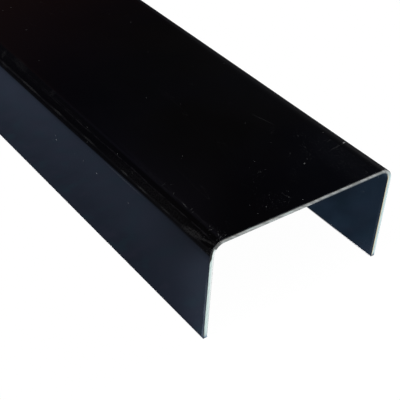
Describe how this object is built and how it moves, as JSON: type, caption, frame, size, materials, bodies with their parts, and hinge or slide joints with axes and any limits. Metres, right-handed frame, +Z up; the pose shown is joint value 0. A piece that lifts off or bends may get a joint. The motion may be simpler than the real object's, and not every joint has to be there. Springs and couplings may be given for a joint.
{
  "type": "u-channel",
  "caption": "Length of u-channel folded from thin sheet metal, gloss black with bare sawn ends, to cap, edge or frame panels and boards.",
  "frame": {"origin": "middle of the footprint, on the plane of the two flange edges that the channel lies on", "axes": "+Z up from the flange edges to the web, +Y along the stock, +X across the web"},
  "size_m": [0.05, 1, 0.0255],
  "materials": {
    "black_coat": "high-gloss black coat on every sheet face, bare bright metal on the two sawn ends and the two sheared long edges"
  },
  "bodies": {
    "root": {"u_channel": "black_coat"}
  },
  "joints": []
}
